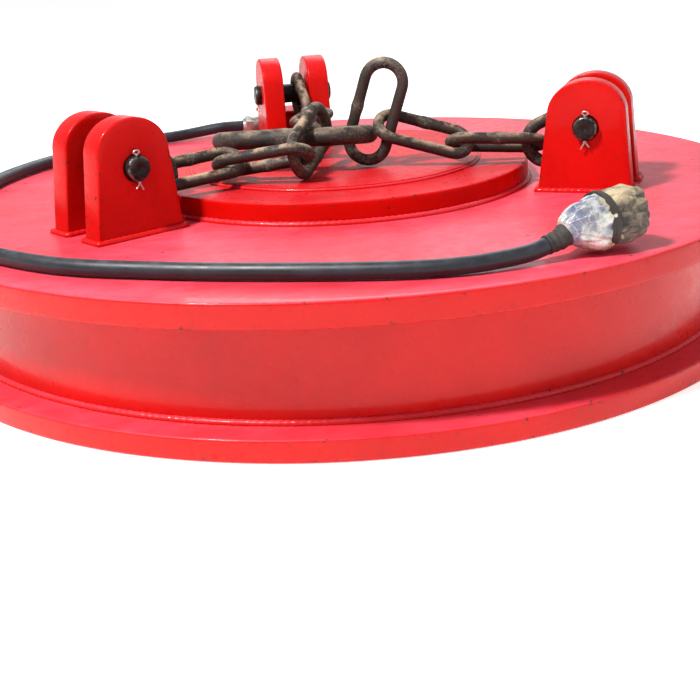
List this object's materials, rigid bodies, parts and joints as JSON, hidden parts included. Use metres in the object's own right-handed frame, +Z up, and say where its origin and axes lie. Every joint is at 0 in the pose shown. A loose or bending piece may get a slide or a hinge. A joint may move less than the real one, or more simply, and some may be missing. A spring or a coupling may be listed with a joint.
{
  "type": "circular lifting magnet",
  "caption": "Round electromagnetic lifting magnet with a raised centre boss, clevis lugs on pins, slack chain sling legs on one master link, and a supply cable.",
  "frame": {"origin": "centre of the pole face, on the plane that the magnet rests on", "axes": "+Z up, away from the pole face; one lug stands on +Y, the others at 210 and 330 degrees"},
  "size_m": [1.5, 1.5, 0.4485],
  "materials": {
    "red_paint": "glossy red enamel, worn",
    "chain_steel": "rough, rusted",
    "pin_steel": "blackened, oiled",
    "zinc": "zinc plated",
    "pole_steel": "turned, bare",
    "shield_plate": "rolled plate",
    "coil_strip": "strip winding",
    "insulation": "resin-bonded board",
    "cable_rubber": "smooth sheath",
    "foil_tape": "wound tape and foil"
  },
  "bodies": {
    "housing": {"outer_pole_ring": "red_paint", "housing_wall": "red_paint", "deck_plate": "red_paint", "centre_boss": "red_paint", "boss_cover": "red_paint", "core": "pole_steel", "inner_pole_shoe": "pole_steel", "bottom_plate": "shield_plate", "coil_former": "insulation", "coil_inner": "coil_strip", "coil_outer": "coil_strip", "insulation_bottom": "insulation", "insulation_top": "insulation", "lug_back_plate_a": "red_paint", "lug_back_plate_b": "red_paint", "lug_left_plate_a": "red_paint", "lug_left_plate_b": "red_paint", "lug_right_plate_a": "red_paint", "lug_right_plate_b": "red_paint", "outlet_box": "red_paint", "outlet_lid": "red_paint", "lid_bolt_1": "zinc", "lid_bolt_2": "zinc", "lid_bolt_3": "zinc", "lid_bolt_4": "zinc", "gland_body": "zinc", "gland_nut": "zinc", "power_cable": "cable_rubber", "cable_end_wrap": "foil_tape"},
    "pin_back": {"pin_back": "pin_steel", "split_pin_back_a": "zinc", "split_pin_back_b": "zinc"},
    "pin_left": {"pin_left": "pin_steel", "split_pin_left_a": "zinc", "split_pin_left_b": "zinc"},
    "pin_right": {"pin_right": "pin_steel", "split_pin_right_a": "zinc", "split_pin_right_b": "zinc"},
    "link_right_1": {"link_right_1": "chain_steel"},
    "link_right_2": {"link_right_2": "chain_steel"},
    "link_right_3": {"link_right_3": "chain_steel"},
    "link_right_4": {"link_right_4": "chain_steel"},
    "link_back_1": {"link_back_1": "chain_steel"},
    "link_back_2": {"link_back_2": "chain_steel"},
    "link_back_3": {"link_back_3": "chain_steel"},
    "link_back_4": {"link_back_4": "chain_steel"},
    "link_left_1": {"link_left_1": "chain_steel"},
    "link_left_2": {"link_left_2": "chain_steel"},
    "link_left_3": {"link_left_3": "chain_steel"},
    "link_left_4": {"link_left_4": "chain_steel"},
    "master_link": {"master_link": "chain_steel"}
  },
  "joints": [
    {"name": "pin_back_turn", "type": "hinge", "parent": "housing", "child": "pin_back", "pos_m": [0, 0.462, 0.328], "axis": [-1, 0, 0], "continuous": true},
    {"name": "pin_left_turn", "type": "hinge", "parent": "housing", "child": "pin_left", "pos_m": [-0.4001, -0.231, 0.328], "axis": [0.5, -0.866, 0], "continuous": true},
    {"name": "pin_right_turn", "type": "hinge", "parent": "housing", "child": "pin_right", "pos_m": [0.4001, -0.231, 0.328], "axis": [0.5, 0.866, 0], "continuous": true},
    {"name": "link_right_1_swing", "type": "hinge", "parent": "housing", "child": "link_right_1", "pos_m": [0.4001, -0.231, 0.328], "axis": [0.5, 0.866, 0], "range_deg": [0, 0.5]},
    {"name": "link_right_2_swing", "type": "hinge", "parent": "link_right_1", "child": "link_right_2", "pos_m": [0.3215, -0.1811, 0.2843], "axis": [0.2588, 0.9659, 0], "range_deg": [0, 0.6]},
    {"name": "link_right_3_swing", "type": "hinge", "parent": "link_right_2", "child": "link_right_3", "pos_m": [0.1923, -0.1496, 0.2954], "axis": [0.2079, 0.9781, 0], "range_deg": [0, 0.9]},
    {"name": "link_right_4_swing", "type": "hinge", "parent": "link_right_3", "child": "link_right_4", "pos_m": [0.0422, -0.1176, 0.3078], "axis": [-0.342, -0.9397, 0], "range_deg": [-8, 1.5]},
    {"name": "link_back_1_swing", "type": "hinge", "parent": "housing", "child": "link_back_1", "pos_m": [0, 0.462, 0.328], "axis": [-1, 0, 0], "range_deg": [0, 0.2]},
    {"name": "link_back_2_swing", "type": "hinge", "parent": "link_back_1", "child": "link_back_2", "pos_m": [0.0099, 0.3733, 0.2824], "axis": [-0.9986, -0.0523, 0], "range_deg": [0, 0.2]},
    {"name": "link_back_3_swing", "type": "hinge", "parent": "link_back_2", "child": "link_back_3", "pos_m": [0.0148, 0.2482, 0.2976], "axis": [-0.9877, 0.1564, 0], "range_deg": [0, 0.3]},
    {"name": "link_back_4_swing", "type": "hinge", "parent": "link_back_3", "child": "link_back_4", "pos_m": [-0.008, 0.1232, 0.3041], "axis": [-0.9336, 0.3584, 0], "range_deg": [0, 0.6]},
    {"name": "link_left_1_swing", "type": "hinge", "parent": "housing", "child": "link_left_1", "pos_m": [-0.4001, -0.231, 0.328], "axis": [0.5, -0.866, 0], "range_deg": [0, 0.35]},
    {"name": "link_left_2_swing", "type": "hinge", "parent": "link_left_1", "child": "link_left_2", "pos_m": [-0.3263, -0.1837, 0.2841], "axis": [0.2756, -0.9613, 0], "range_deg": [0, 0.5]},
    {"name": "link_left_3_swing", "type": "hinge", "parent": "link_left_2", "child": "link_left_3", "pos_m": [-0.2077, -0.1432, 0.295], "axis": [-0.4384, -0.8988, 0], "range_deg": [0, 1]},
    {"name": "link_left_4_swing", "type": "hinge", "parent": "link_left_3", "child": "link_left_4", "pos_m": [-0.0948, -0.2071, 0.306], "axis": [0.8746, -0.4848, 0], "range_deg": [-2.4, 1.5]},
    {"name": "master_link_lift", "type": "hinge", "parent": "housing", "child": "master_link", "pos_m": [0.0213, -0.1126, 0.3253], "axis": [0.4226, 0.9063, 0], "range_deg": [0, 1.2]}
  ]
}
